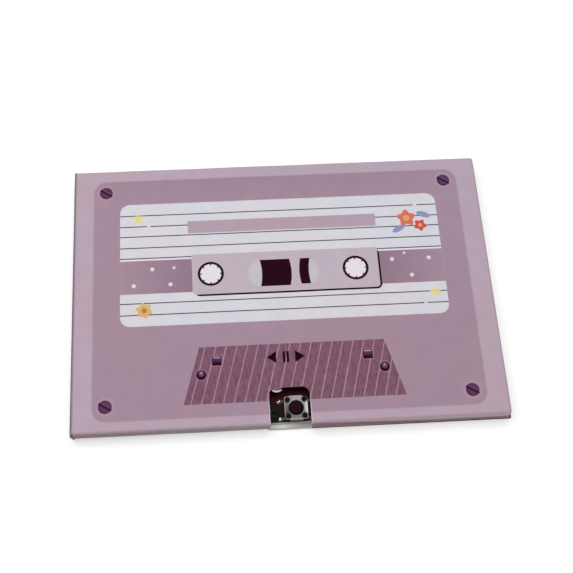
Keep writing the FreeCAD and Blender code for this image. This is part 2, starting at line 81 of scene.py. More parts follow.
def length(name, description, default):
    """A length that a user may change, in metres."""
    return FloatProperty(name=name, description=description, default=default, unit="LENGTH")


def colour(name, description, red, green, blue):
    """A colour that a user may change, as it shows on screen."""
    return FloatVectorProperty(
        name=name, description=description, size=3, subtype="COLOR_GAMMA", min=0, max=1,
        default=(red / 255, green / 255, blue / 255))


class CardSizes(bpy.types.PropertyGroup):
    """Sizes of the printed sheet that the CAD model doesn't state."""

    fold_round: length("Fold rounding", "Outer radius of the folds to the flaps", 0.0008)
    sheet_relief: length("Sheet relief", "How far the glued sheet sinks between its high spots", 0.00007)
    notch_corner: length("Notch corner", "Radius of the finger notch's inner corners", 0.0018)
    cut_slant: length("Cut slant", "How far the printed side stands back at the notch's cut", 0.0001)
    cut_waver: length("Cut waver", "How far the die cut strays from its line", 0.00005)
    tongue_drop: length("Tongue drop", "How far the sheet's torn tongue hangs into the notch", 0.00062)
    lip_width: length("Lip width", "Width of the torn white lip along the tongue", 0.00046)


class PrintColours(bpy.types.PropertyGroup):
    """Colours of the print, the papers and the board."""

    border: colour("Border", "Pale lilac round the edge and on the flaps", 192, 172, 186)
    # The spine's colour is darkened as painted shade, for the line where the spine bows out at the left edge
    spine: colour("Spine", "Greyed mauve of the rubbed spine", 118, 101, 112)
    panel: colour("Panel", "Darker lilac of the inner panel", 172, 147, 163)
    band: colour("Band", "Panel colour beside the window", 151, 125, 143)
    label: colour("Label", "Greyish white of the label", 224, 224, 229)
    bright: colour("Bright", "White of strips, dots and hubs", 238, 235, 241)
    rule: colour("Rules", "Grey of the label's ruled lines", 72, 66, 74)
    title: colour("Title bar", "Mauve of the bare title bar", 187, 166, 180)
    window: colour("Window", "Pale mauve of the window frame", 200, 187, 197)
    shadow: colour("Window line", "Dark plum of the line under the window", 39, 3, 24)
    cap: colour("Window cap", "Warm white of the window's ends", 206, 201, 203)
    tape: colour("Tape", "Dark plum of the tape and of the hub rings", 39, 3, 22)
    deck: colour("Deck", "Mauve of the striped deck", 139, 101, 119)
    deck_weave: colour("Deck weave", "Darker threads of the striped deck", 120, 82, 100)
    stripe: colour("Deck stripe", "Pale stripe on the deck", 190, 152, 170)
    screw: colour("Screw", "Plum of the printed screws", 99, 58, 94)
    slot: colour("Screw slot", "Dark plum of the screw slots", 38, 0, 28)
    gloss: colour("Button gloss", "Light side of the printed buttons", 158, 130, 164)
    star: colour("Star", "Pale yellow of the stars", 236, 226, 130)
    halo: colour("Star glow", "Cream of the glow round the stars", 232, 228, 190)
    coral: colour("Coral", "Coral of the large blossom", 228, 120, 100)
    orange: colour("Orange", "Orange of the blossom centres", 238, 172, 112)
    crimson: colour("Crimson", "Red of the small blossom", 214, 84, 84)
    periwinkle: colour("Periwinkle", "Blue of the leaves", 150, 156, 200)
    amber: colour("Amber", "Amber of the blossom on the left", 226, 188, 118)
    ochre: colour("Ochre", "Darker centre of the amber blossom", 186, 138, 84)
    paper: colour("Paper", "Uncoated white of the papers", 226, 224, 222)
    mask: colour("Board", "Greenish black of the circuit board", 13, 17, 13)


def sizes():
    """The size settings."""
    return bpy.context.scene.card_sizes


def ink(name):
    """One of the colour settings as linear red, green, blue and 1."""
    shown = np.array(getattr(bpy.context.scene.print_colours, name))
    linear = np.where(shown <= 0.04045, shown / 12.92, ((shown + 0.055) / 1.055) ** 2.4)
    return (*linear, 1.0)


def shown(red, green, blue):
    """A colour given as it shows on screen, as linear red, green, blue and 1."""
    value = np.array([red, green, blue]) / 255
    linear = np.where(value <= 0.04045, value / 12.92, ((value + 0.055) / 1.055) ** 2.4)
    return (*linear, 1.0)


# ---------------------------------------------------------------- shader maths


class Field:
    """A number or colour that varies over a surface, so that shader maths reads as expressions."""

    def __init__(self, finish, socket):
        self.finish = finish
        self.socket = socket

    def maths(self, operation, *others, clamp=False):
        """One Math node on this value and others."""
        settings = {"operation": operation, "use_clamp": clamp}
        return self.finish.add("ShaderNodeMath", enumerate((self, *others)), **settings)

    def __add__(self, other):
        return self.maths("ADD", other)

    def __sub__(self, other):
        return self.maths("SUBTRACT", other)

    def __rsub__(self, other):
        return self.finish.number(other).maths("SUBTRACT", self)

    def __mul__(self, other):
        return self.maths("MULTIPLY", other)

    def __truediv__(self, other):
        return self.maths("DIVIDE", other)

    __radd__ = __add__
    __rmul__ = __mul__

    def __abs__(self):
        return self.maths("ABSOLUTE")

    def __mod__(self, other):
        return self.maths("FLOORED_MODULO", other)

    def at_least(self, other):
        return self.maths("MAXIMUM", other)

    def at_most(self, other):
        return self.maths("MINIMUM", other)

    def sign(self):
        return self.maths("SIGN")

    def inside(self, soft=0.07):
        """1 where a signed distance is below zero, 0 where it is above, with a soft step between."""
        return self.maths("MULTIPLY_ADD", -1 / soft, 0.5, clamp=True)

    def ramp(self, low, high):
        """0 at low, 1 at high, straight between."""
        return self.maths("MULTIPLY_ADD", 1 / (high - low), -low / (high - low), clamp=True)


class Finish:
    """A material in the making, with one method that adds any node."""

    def __init__(self, name, **constants):
        self.material = bpy.data.materials.new(name)
        self.material.use_nodes = True
        self.tree = self.material.node_tree
        self.shader = self.tree.nodes["Principled BSDF"]
        for key, value in constants.items():
            self.shader.inputs[key.replace("_", " ")].default_value = value
        self.place = self.add("ShaderNodeTexCoord", output="Object")

    def add(self, kind, inputs=(), output=0, **settings):
        """Adds a node: settings first, then the values or links of its sockets."""
        node = self.tree.nodes.new(kind)
        for key, value in settings.items():
            setattr(node, key, value)
        for key, value in dict(inputs).items():
            if isinstance(value, Field):
                self.tree.links.new(value.socket, node.inputs[key])
            else:
                node.inputs[key].default_value = value
        return Field(self, node.outputs[output])

    def number(self, value):
        """A plain number as a field."""
        return self.add("ShaderNodeMath", {0: value, 1: 0.0}, operation="ADD")

    def axes(self):
        """Object coordinates in millimetres."""
        node = self.tree.nodes.new("ShaderNodeSeparateXYZ")
        self.tree.links.new(self.place.socket, node.inputs[0])
        return [Field(self, socket) * (1 / MM) for socket in node.outputs]

    def noise(self, per_mm, detail=2.0, rough=0.5, stretch=(1, 1, 1)):
        """Noise from 0 to 1 with about per_mm lumps to a millimetre."""
        vector = self.place
        if stretch != (1, 1, 1):
            vector = self.add("ShaderNodeVectorMath", {0: vector, 1: stretch}, operation="MULTIPLY")
        inputs = {"Vector": vector, "Scale": per_mm / MM, "Detail": detail, "Roughness": rough}
        return self.add("ShaderNodeTexNoise", inputs)

    def mix(self, mask, below, above, how="MIX"):
        """Colour below where the mask is 0 and above where it is 1."""
        inputs = {0: mask, 6: below, 7: above}
        return self.add("ShaderNodeMix", inputs, output=2, data_type="RGBA", blend_type=how)

    def feed(self, name, field):
        """Links a field to one socket of the shader."""
        self.tree.links.new(field.socket, self.shader.inputs[name])

    def bump(self, height, depth_mm, strength=1.0):
        """Turns a height from 0 to 1 into relief that is depth_mm deep."""
        inputs = {"Height": height, "Distance": depth_mm * MM, "Strength": strength}
        self.feed("Normal", self.add("ShaderNodeBump", inputs))


def length_of(across, along):
    """Distance from the origin of two fields."""
    return (across * across + along * along).maths("SQRT")


def dot(x, y, at_x, at_y, radius, soft=0.07):
    """Mask of a disc."""
    return (length_of(x - at_x, y - at_y) - radius).inside(soft)


def bar(value, low, high, soft=0.07):
    """Mask of the stretch between two numbers along one axis."""
    return (abs(value - (low + high) / 2) - (high - low) / 2).inside(soft)


def patch(x, y, x0, x1, y0, y1, corner=0.0, soft=0.07):
    """Mask of a rectangle, with rounded corners if a radius is given."""
    if corner == 0:
        return bar(x, x0, x1, soft) * bar(y, y0, y1, soft)
    out_x = (abs(x - (x0 + x1) / 2) - ((x1 - x0) / 2 - corner)).at_least(0)
    out_y = (abs(y - (y0 + y1) / 2) - ((y1 - y0) / 2 - corner)).at_least(0)
    return (length_of(out_x, out_y) - corner).inside(soft)


def petals(x, y, at_x, at_y, radius, count, waist, turn=0.0, soft=0.07):
    """Mask of a blossom or star: the rim swings between radius and waist with the angle."""
    dx, dy = x - at_x, y - at_y
    angle = dy.maths("ARCTAN2", dx) + turn
    swing = (angle * count).maths("COSINE") * 0.5 + 0.5
    return (length_of(dx, dy) - (swing * (radius - waist) + waist)).inside(soft)


def star(x, y, at_x, at_y, radius, soft=0.1):
    """Mask of a five-pointed star: the angle is folded to half a point, whose edge is straight."""
    dx, dy = x - at_x, y - at_y
    point = 2 * math.pi / 5
    angle = (dy.maths("ARCTAN2", dx) + math.pi / 2) % point
    folded = abs(angle - point / 2)
    reach = length_of(dx, dy)
    along, across = reach * folded.maths("COSINE"), reach * folded.maths("SINE")
    return (along * 0.36 + across * 0.93 - 0.36 * radius).inside(soft)


# ---------------------------------------------------------------- mesh building


def ladder(start, *stretches):
    """Positions from start: each stretch is (end, number of steps)."""
    found = [np.array([start])]
    for end, count in stretches:
        found.append(np.linspace(start, end, count + 1)[1:])
        start = end
    return np.concatenate(found)


def piece(name, points, quads, slots, materials, uv=None, reach=None, sharp=40.0):
    """Makes a mesh object from points in millimetres and four-cornered faces.

    reach, if given, is each point's distance to the notch's cut, kept as an attribute.
    """
    used, quads = np.unique(quads, return_inverse=True)
    quads = quads.reshape(-1, 4)
    mesh = bpy.data.meshes.new(name)
    mesh.from_pydata((points[used] * MM).tolist(), [], quads.tolist())
    mesh.polygons.foreach_set("material_index", np.broadcast_to(slots, len(quads)).astype(np.int32))
    mesh.polygons.foreach_set("use_smooth", np.ones(len(quads), bool))
    for material in materials:
        mesh.materials.append(material)
    if uv is not None:
        mesh.uv_layers.new(name="OFBake").data.foreach_set("uv", uv.astype(np.float32).ravel())
    if reach is not None:
        mesh.attributes.new("cut_reach", "FLOAT", "POINT").data.foreach_set("value", reach[used])
    mesh.update()
    mesh.set_sharp_from_angle(angle=math.radians(sharp))
    made = bpy.data.objects.new(name, mesh)
    bpy.context.scene.collection.objects.link(made)
    return made


def closed_sheet(name, upper, lower, keep, flat, materials, reach=None):
    """A closed sheet between two grids of points.

    Kept cells of the upper grid face out, those of the lower grid are turned over, and each open
    border gets a wall. flat holds the grid's unfolded places, from 0 to 1, for the map: the upper
    side fills most of it, the lower side and the walls share a narrow strip.
    """
    rows, columns = upper.shape[:2]
    count = rows * columns
    index = np.arange(count).reshape(rows, columns)
    corners = (index[:-1, :-1], index[1:, :-1], index[1:, 1:], index[:-1, 1:])
    top = np.stack([corner[keep] for corner in corners], 1)
    edges = np.concatenate([top[:, [i, (i + 1) % 4]] for i in range(4)])
    key = edges.min(1) * count + edges.max(1)
    _, first, times = np.unique(key, return_index=True, return_counts=True)
    border = edges[first[times == 1]]
    walls = np.stack([border[:, 1], border[:, 0], border[:, 0] + count, border[:, 1] + count], 1)
    below = top[:, ::-1] + count
    quads = np.concatenate([top, walls, below])
    slots = np.repeat([0, 1, 2], [len(top), len(walls), len(below)])
    flat = flat.reshape(-1, 2)
    top_uv = flat[top] * (0.99, 0.91) + 0.005
    below_uv = flat[below - count] * (0.99, 0.04) + (0.005, 0.93)
    cell = np.array([(0.02, 0.98), (0.98, 0.98), (0.98, 0.995), (0.02, 0.995)])
    wall_uv = np.broadcast_to(cell, (len(walls), 4, 2))
    uv = np.concatenate([top_uv, wall_uv, below_uv])
    points = np.concatenate([upper.reshape(-1, 3), lower.reshape(-1, 3)])
    if reach is not None:
        reach = np.tile(reach.ravel(), 2).astype(np.float32)
    return piece(name, points, quads, slots, materials, uv, reach)


def lathe(name, profile, centres, around, materials):
    """Closed turned bodies: a profile of (radius, height) carried round each centre.

    The ends of the profile lie on the axis, so each body is closed by a small ring there.
    """
    profile = np.array(profile)
    turn = np.linspace(0, 2 * np.pi, around, endpoint=False)
    radius = np.maximum(profile[:, :1], 1e-4)
    ring = np.stack([radius * np.cos(turn), radius * np.sin(turn), profile[:, 1:] + 0 * turn], 2)
    rows = len(profile)
    index = np.arange(rows * around).reshape(rows, around)
    after = np.roll(index, -1, 1)
    quads = np.stack([index[:-1], after[:-1], after[1:], index[1:]], 2).reshape(-1, 4)
    centres = np.array(centres)
    points = (ring[None] + centres[:, None, None, :]).reshape(-1, 3)
    steps = np.arange(len(centres))[:, None, None] * rows * around
    quads = (quads[None] + steps).reshape(-1, 4)
    made = piece(name, points, quads, 0, materials)
    weld = made.modifiers.new("weld", "WELD")
    weld.merge_threshold = 0.0004 * MM
    return made


def wander(x, y, seed, wave):
    """Smooth relief from 0 to 1: a sum of slow sines with seeded directions and phases."""
    random = np.random.default_rng(seed)
    total = np.zeros(np.broadcast(x, y).shape)
    for _ in range(7):
        turn, phase, pace = random.uniform(0, 2 * np.pi, 2).tolist() + [random.uniform(0.6, 1.8)]
        total = total + np.sin((x * np.cos(turn) + y * np.sin(turn)) * pace * 2 * np.pi / wave + phase)
    return np.clip(0.5 + total / 8, 0, 1)


def dress(material, *names):
    """Gives CAD nodes a finished material."""
    for name in names:
        mesh = nodes[name].data
        mesh.materials.clear()
        mesh.materials.append(material)


# ---------------------------------------------------------------- finishes


def printed_ink(finish, x, y):
    """The front's print, as a colour that is a function of the place in millimetres."""
    shade = ink("border")

    def lay(mask, above):
        nonlocal shade
        shade = finish.mix(mask, shade, ink(above) if isinstance(above, str) else above)

    far_half = y.ramp(24, 34) * 0.35 * (1 - abs(x + 4).ramp(20, 50) * 0.6)
    panel = finish.mix(far_half, ink("panel"), ink("band"))
    lay(patch(x, y, -48.8, 48.5, -33.3, 32.55, 3.5, 0.45), panel)

    # Screws: one drawing, folded into the four corners
    sx, sy = x + 0.3 - x.sign() * 45.25, y + 0.15 - y.sign() * 29.35
    lay((dot(sx, sy, 0, 0, 2.25, 0.5) - dot(sx, sy, 0, 0, 1.95, 0.3)).at_least(0) * 0.4, "border")
    head = dot(sx, sy, 0, 0, 1.68, 0.12)
    lay(head, finish.mix(dot(sx, sy, 0.1, 0.1, 1.6, 0.8), shown(62, 26, 58), ink("screw")))
    cross, along = sy * 0.85 + sx * 0.53, sx * 0.85 - sy * 0.53
    lay(bar(cross, -0.26, 0.26, 0.12) * bar(along, -1.85, 1.85, 0.12), shown(54, 16, 48))
    lay(bar(cross, 0.3, 0.5, 0.15) * bar(along, -1.2, 1.3, 0.3) * 0.3, "gloss")

    # Label: two white fields with rules, and the panel's colour as a band between them
    near_window = abs(x - 0.7).ramp(42, 22)
    on_label = patch(x, y, -41.9, 42.0, -9.0, 25.45, 2.6)
    on_band = bar(y, -0.2, 9.1)
    lay(on_label, "label")
    rules = bar(y, 21.96, 22.24, 0.1)
    for level in (18.9, 16.0, 12.75, 9.75, -2.8, -5.95):
        rules = rules.at_least(bar(y, level - 0.14, level + 0.14, 0.1))
    gaps = patch(x, y, -34.85, -34.0, 18, 20).at_least(patch(x, y, 35.8, 36.9, 21.5, 23))
    gaps = gaps.at_least(patch(x, y, 35.7, 36.6, -7, -5))
    lay(rules * on_label * (1 - gaps), "rule")
    lay(bar(y, 9.05, 9.5, 0.12) * on_label, "bright")
    lay(on_band * on_label, finish.mix(near_window, ink("panel"), ink("band")))
    lay(patch(x, y, -24.2, 25.4, 16.45, 20.0), "title")

    # Small stars and dots
    for at_x, at_y in ((-37.15, 21.0), (38.9, -3.1)):
        lay(dot(x, y, at_x, at_y, 1.3, 1.2) * 0.55, "halo")
        lay(star(x, y, at_x, at_y, 1.5, 0.5), "star")
    for at_x, at_y, radius in (
            (-33.6, 6.6, 0.5), (-28.0, 6.8, 0.36), (-38.4, 2.1, 0.5), (-29.0, 2.2, 0.5),
            (28.7, 6.6, 0.5), (32.05, 8.2, 0.34), (38.35, 6.6, 0.5), (33.4, 1.95, 0.5)):
        lay(dot(x, y, at_x, at_y, radius, 0.35), "bright")

    # Blossoms: one amber on the left, a coral and a red one with two leaves on the right
    lay(petals(x, y, -35.8, -4.75, 2.15, 6, 1.6, 0.3), "amber")
    lay(dot(x, y, -35.8, -4.75, 0.7, 0.12), "ochre")
    for at_x, at_y, lean in ((31.4, 15.3, 0.5), (38.3, 19.2, -0.35)):
        lx, ly = x - at_x, y - at_y
        leaf_along = lx * math.cos(lean) + ly * math.sin(lean)
        leaf_across = ly * math.cos(lean) - lx * math.sin(lean)
        lay((length_of(leaf_along * 0.42, leaf_across) - 0.8).inside(), "periwinkle")
    lay(petals(x, y, 33.7, 18.3, 2.5, 5, 1.75, 0.9), "coral")
    lay(dot(x, y, 33.7, 18.3, 0.85, 0.12), "orange")
    lay(petals(x, y, 37.2, 16.1, 1.75, 5, 1.2, 0.2), "crimson")
    lay(dot(x, y, 37.2, 16.1, 0.55, 0.12), "orange")

    # Window frame over its dark line
    lay(patch(x, y, -22.8, 25.48, -1.48, 9.75, 1.4), "shadow")
    lay(patch(x, y, -23.4, 24.98, -0.98, 10.25, 0.9), "window")
    lay(patch(x, y, -23.4, 24.98, 8, 10.25), "window")

    # Window: pale rounded ends, two dark tape fields with bowed sides
    lay(patch(x, y, -8.9, 9.3, 0.55, 7.95, 3.4, 0.15), "cap")
    bow = (y - 4.25) * (y - 4.25) * 0.033
    lay(bar(x, -5.6, 7.0) * bar(y, 0.3, 8.2), "window")
    lay(bar(x + bow, -5.35, 2.3) * bar(y, 0.55, 7.95), "tape")
    lay(bar(x - bow, 4.3, 6.75) * bar(y, 0.8, 7.95), "tape")

    # Hubs: a dark ring with eight short teeth round a white field, mirrored across the middle
    hx, hy = abs(x - 0.2) - 18.78, y - 4.65
    reach = length_of(hx, hy)
    lay((reach - 3.38).inside(0.12), "tape")
    lay((reach - 2.72).inside(0.12), "bright")
    eighth = math.pi / 4
    turn = (hy.maths("ARCTAN2", hx) + eighth / 2) % eighth - eighth / 2
    tooth = bar(reach * turn.maths("SINE"), -0.17, 0.17, 0.12) * bar(reach, 2.35, 2.9, 0.12)
    lay(tooth, "tape")

    # Striped deck
    side = abs(x - 1.05) - 23.25 - (-15.25 - y) * 0.288
    deck = side.inside() * bar(y, -29.95, -15.25)
    weave = finish.noise(1.7, 3.0, 0.65, (1.2, 0.4, 1))
    lay(deck, finish.mix(weave.ramp(0.36, 0.64), ink("deck_weave"), ink("deck")))
    slant = (x + 24.64 - (y + 29.8) * 0.272 + 1.33 + (weave - 0.5) * 0.16) % 2.66
    broken = finish.noise(0.6, 3.0, 0.7).ramp(0.3, 0.6) * 0.45 + 0.5
    lay(deck * bar(slant, 1.19, 1.46, 0.14) * broken, "stripe")

    # Printed buttons and signs on the deck
    bx = abs(x - 0.97)
    lay(patch(bx, y, 17.4, 20.4, -20.45, -17.5, 0.3, 0.3) * 0.35, "stripe")
    lay(patch(bx, y, 17.68, 20.12, -20.2, -17.75, 0.15), "slot")
    lit = finish.mix((y + 18.9).ramp(-0.8, 0.6), ink("slot"), shown(98, 68, 104))
    lay(patch(bx, y, 17.9, 19.9, -19.9, -17.9, 0.15, 0.2), lit)
    lay(patch(bx, y, 18.05, 19.8, -18.25, -17.95, 0.1, 0.25), shown(186, 162, 190))
    ball_x, ball_y = bx - 22.85, y + 22.48
    lay(dot(ball_x, ball_y, 0, 0, 1.55, 0.3) * 0.35, "stripe")
    lay(dot(ball_x, ball_y, 0, 0, 1.26, 0.12), "slot")
    lay(dot(ball_x, ball_y, 0, 0.3, 0.6, 0.8), shown(122, 88, 122))
    lay(dot(ball_x, ball_y, 0, 0.55, 0.16, 0.5), shown(206, 184, 208))
    signs = patch(x, y, -1.42, -0.82, -20.2, -17.25).at_least(patch(x, y, -0.5, 0.1, -20.2, -17.25))
    for tip, base in ((-5.45, -3.1), (4.1, 1.65)):
        slope = 1.55 / (base - tip)
        wedge = abs(y + 18.72) - (x - tip) * slope
        signs = signs.at_least(wedge.inside() * bar(x, *sorted((tip, base))))
    lay(signs, shown(28, 0, 14))
    return shade


def aged_print(finish, shade, x, y, z):
    """Slow drift between a cooler and a warmer tone, mottling, rubbed colour at the folds, and painted shade and light
    on folds and sides.
    """
    drift = finish.noise(0.055, 1.5, 0.5) - y * 0.003 - x * 0.001
    mottle = finish.noise(0.22, 3.0, 0.6).ramp(0.3, 0.7)
    grain = finish.noise(3.2, 2.0, 0.6).ramp(0.2, 0.8)
    for mask, low, high in (
            (drift.ramp(0.35, 0.65), (252, 253, 255), (255, 251, 251)),
            (mottle, (249, 248, 250), (255, 255, 254)),
            (grain, (251, 250, 251), (255, 255, 255))):
        shade = finish.mix(1.0, shade, finish.mix(mask, shown(*low), shown(*high)), "MULTIPLY")
    # Folds: painted shade greys the right and far folds where the sheet turns down, and the ink is rubbed pale in
    # places
    fold = (abs(x) - 53.75).at_least(abs(y) - 35.75).ramp(-0.15, 0.05) * (z - 4.35).ramp(0, 0.35)
    shade = finish.mix(fold * y.ramp(-35, -33) * 0.4, shade, shown(150, 141, 148))
    rubbed = fold * finish.noise(0.9, 3.0, 0.7).ramp(0.5, 0.75) * 0.35
    shade = finish.mix(rubbed, shade, shown(214, 200, 208))
    # Left edge: painted shade where the sheet turns down to the spine, darkening over half a millimetre
    shade = finish.mix((1 - x.ramp(-53.55, -53.2)) * 0.5, shade, shown(122, 104, 115))
    # Sides: a brown tint that grows towards the right, part dirt from handling and part painted shade
    side = 1 - z.ramp(4.35, 4.75)
    dirt_and_shade = (x * 0.012 + finish.noise(0.12, 3.0, 0.6)).ramp(0.2, 0.8)
    tint = finish.mix(dirt_and_shade, shown(255, 243, 240), shown(255, 226, 222))
    shade = finish.mix(side, shade, finish.mix(1.0, shade, tint, "MULTIPLY"))
    # Near side: painted light makes it lighter towards the left; left of the notch the ink is rubbed pale
    near_left = x.ramp(-50, -14) * (1 - x.ramp(-5.3, -4.3)) * (1 - y.ramp(-35, -34))
    shade = finish.mix((1 - x.ramp(-46, 10)) * (1 - y.ramp(-35, -34)) * side * 0.35, shade, shown(232, 208, 216))
    shade = finish.mix(near_left * side * 0.5, shade, shown(222, 212, 218))
    # Painted light: right of the notch the near side's upper band is lightened towards the top's brightness, deeper to
    # the right
    depth = x.ramp(4, 36) * 2.3
    pale = (z - 4.5 + depth).ramp(-0.3, 0.9) * x.ramp(2, 12) * side * (1 - y.ramp(-35.6, -35.1))
    return finish.mix(pale, shade, shown(246, 224, 236))


def print_finish(name, front=True):
    """Matt laminated print, with paper texture under the film."""
    finish = Finish(name, IOR=1.45, Specular_IOR_Level=0.03)
    x, y, z = finish.axes()
    if front:
        shade = aged_print(finish, printed_ink(finish, x, y), x, y, z)
        reach = finish.add("ShaderNodeAttribute", output="Fac", attribute_name="cut_reach")
        wear = finish.noise(1.1, 3.0, 0.7).ramp(0.3, 0.75) * (0.06 + (y + 28.0).ramp(0, -3.5) * 0.3)
        ragged = reach - wear
        rubbed = ragged.inside(0.12) * ((y + 31.0).ramp(3.2, 0) * 0.55 + 0.3)
        shade = finish.mix(rubbed, shade, shown(226, 216, 220))
    else:
        shade = aged_print(finish, finish.mix(0.0, ink("border"), ink("border")), x, y, z)
        # Spine outside: painted shade in the spine colour, mottled, where the spine bows out past the sheet's edge
        grime_and_shade = finish.noise(0.4, 3.0, 0.6).ramp(0.3, 0.7) * 0.3 + 0.7
        rise = (z - (spine_low[2] + spine_high[2]) / 2) / (spine_high[2] - spine_low[2]) * 2
        behind = x - spine_low[0] - rise * rise * SPINE_BOW
        outside = (1 - behind.ramp(0.15, 0.25)) * (1 - abs(y).ramp(35.5, 35.7))
        shade = finish.mix(grime_and_shade * outside, shade, ink("spine"))
        within = behind.ramp(0.28, 0.34) * (1 - abs(rise).ramp(0.82, 0.86)) * (1 - x.ramp(-53.4, -53.3))
        shade = finish.mix(within, shade, shown(222, 217, 217))
        inner = z.ramp(0.42, 0.46) * (1 - z.ramp(0.52, 0.56)) * x.ramp(-53.4, -53.3)
        shade = finish.mix(inner, shade, shown(222, 217, 217))
        # The leaf's cut edge and the rim the cover leaves free: painted shade in dark plum, darker to the right on the
        # near side
        cut = (abs(y) - leaf_high[1]).at_least(x - leaf_high[0]).ramp(-0.08, -0.04)
        margin = (abs(y) - cover_high[1]).at_least(x - cover_high[0]).ramp(-0.1, 0.0)
        edge = finish.mix(x.ramp(10, 45) * (1 - y.ramp(-35, -34)), shown(150, 124, 133), shown(112, 84, 95))
        shade = finish.mix(cut.at_least(margin), shade, edge)
        bared = bar(x, NOTCH_LEFT - 0.9, NOTCH_RIGHT + 0.2, 0.2) * (1 - y.ramp(-35.6, -35.3))
        shade = finish.mix(bared, shade, shown(232, 230, 228))
    finish.feed("Base Color", shade)
    fibres = finish.noise(1.3, 4.0, 0.65)
    finish.feed("Roughness", fibres * 0.16 + 0.46)
    finish.bump(fibres, 0.012)
    return finish.material


def cut_edge_finish(name="torn_fibres", shaded=False):
    """The board's cut edge: white fibres in layers, with painted shade turning it plum at the notch's far end."""
    finish = Finish(name, Roughness=0.9, IOR=1.4)
    layers = finish.noise(2.5, 3.0, 0.7, (1, 1, 5))
    shade = finish.mix(layers.ramp(0.3, 0.75), shown(206, 196, 202), shown(240, 235, 238))
    if shaded:
        _, y, _ = finish.axes()
        # Painted shade: the cut edge goes dark plum towards the notch's far end
        shade = finish.mix((y + 31.0).ramp(0, 3.2) * 0.85, shade, shown(104, 66, 82))
    finish.feed("Base Color", shade)
    finish.bump(layers, 0.04)
    return finish.material


def paper_finish(name="uncoated_paper"):
    """Uncoated paper: cloudy fibres and faint specks, with painted shade darkening the notch's near strip towards its
    right.
    """
    finish = Finish(name, Roughness=0.88, IOR=1.4)
    cloud = finish.noise(0.5, 4.0, 0.7)
    fibres = finish.noise(4.0, 3.0, 0.7, (1, 0.35, 1))
    base = finish.mix(cloud.ramp(0.3, 0.7), shown(219, 217, 215), shown(232, 230, 228))
    x, y, _ = finish.axes()
    base = finish.mix(fibres.ramp(0.62, 0.8) * 0.25, base, shown(196, 192, 188))
    # Painted shade on the paper strip in the notch, beside and right of the switch
    shaded = x.ramp(-2.4, 3.4) * (1 - x.ramp(4.6, 4.8)) * (1 - y.ramp(-34.6, -34.0)) * 0.55
    finish.feed("Base Color", finish.mix(shaded, base, shown(140, 127, 123)))
    finish.bump(fibres, 0.02)
    return finish.material


def ruled_paper_finish():
    """The lining: uncoated paper with pale lilac writing rules inside a thin frame."""
    finish = Finish("ruled_lining", Roughness=0.86, IOR=1.4)
    x, y, _ = finish.axes()
    cloud = finish.noise(0.5, 4.0, 0.7)
    base = finish.mix(cloud.ramp(0.3, 0.7), shown(221, 219, 217), shown(233, 231, 229))
    rules = bar((y + 2.5) % 8.0, 3.9, 4.1, 0.12) * patch(x, y, -42, 42, -22, 24)
    outer = patch(x, y, -49, 49, -31, 31, 3.0)
    inner = patch(x, y, -48.6, 48.6, -30.6, 30.6, 2.7)
    line = rules.at_least(outer - inner)
    shade = finish.mix(line * 0.8, base, ink("panel"))
    # Painted shade: the lining's rim past the cover's edge goes dark plum, except in the notch
    rim = (abs(y) - cover_high[1]).at_least(x - cover_high[0]).ramp(-0.3, -0.05)
    in_notch = bar(x, NOTCH_LEFT - 0.9, NOTCH_RIGHT + 0.2, 0.2) * (1 - y.ramp(-35, -34))
    finish.feed("Base Color", finish.mix(rim * 0.9 * (1 - in_notch), shade, shown(150, 124, 133)))
    finish.bump(finish.noise(4.0, 3.0, 0.7, (1, 0.35, 1)), 0.02)
    return finish.material


def foam_finish():
    """White closed-cell foam: small bubbles cut open at the surface."""
    finish = Finish("foam_cells", Roughness=0.92, IOR=1.35)
    inputs = {"Vector": finish.place, "Scale": 1.6 / MM}
    cells = finish.add("ShaderNodeTexVoronoi", inputs)
    shade = finish.mix(cells.ramp(0.1, 0.7), shown(228, 227, 222), shown(196, 195, 190))
    finish.feed("Base Color", shade)
    finish.bump(1 - cells, 0.12)
    return finish.material


def board_finish():
    """Dark green solder mask over copper tracks that stand up through it, reddish black painted shade to the far side,
    and a bare near margin.
    """
    finish = Finish("solder_mask", IOR=1.5, Specular_IOR_Level=0.03)
    x, y, _ = finish.axes()
    across = bar(y % 1.6, 0.35, 0.95, 0.08) * bar(x, -15.5, -3.9, 0.3)
    down = bar(x % 1.9, 0.5, 1.05, 0.08) * bar(y, -27.5, -13, 0.3)
    track = across.at_least(down)
    cloud = finish.noise(1.2, 3.0, 0.6)
    # Painted shade with a painted reddish reflection of the print, patchy, darker towards the far and right side
    shade_and_reflection = (finish.noise(0.3, 2.0, 0.5) * 2.0 + y * 0.3 + x * 0.2 + 9.9).ramp(0.6, 1.4)
    bare = finish.mix(cloud, shown(7, 7, 6), ink("mask"))
    covered = finish.mix(cloud, shown(24, 27, 22), shown(46, 50, 41))
    shade = finish.mix(track, bare, covered)
    shade = finish.mix(shade_and_reflection * 0.96, shade, shown(50, 8, 16))
    margin = 1 - (y - x * 0.02 - board_low[1]).ramp(0.2, 0.28)
    finish.feed("Base Color", finish.mix(margin, shade, finish.mix(cloud, shown(176, 173, 168), shown(208, 205, 200))))
    finish.feed("Roughness", cloud * 0.15 + 0.24)
    finish.bump(track + cloud * 0.1, 0.05)
    return finish.material


def moulded_finish(name, dark, light, rough, grain=2.5, depth=0.01, spread=0.1, stretch=(1, 1, 1), **constants):
    """Any plain moulded, drawn or coated stuff: two near tones, and grain in colour, gloss and relief."""
    finish = Finish(name, **constants)
    lumps = finish.noise(grain, 3.0, 0.6, stretch)
    drift = finish.noise(grain / 8, 2.0)
    tone = (lumps * 0.5 + drift * 0.5).ramp(0.35, 0.65)
    finish.feed("Base Color", finish.mix(tone, shown(*dark), shown(*light)))
    finish.feed("Roughness", drift * spread + (rough - spread / 2))
    finish.bump(lumps, depth)
    return finish.material


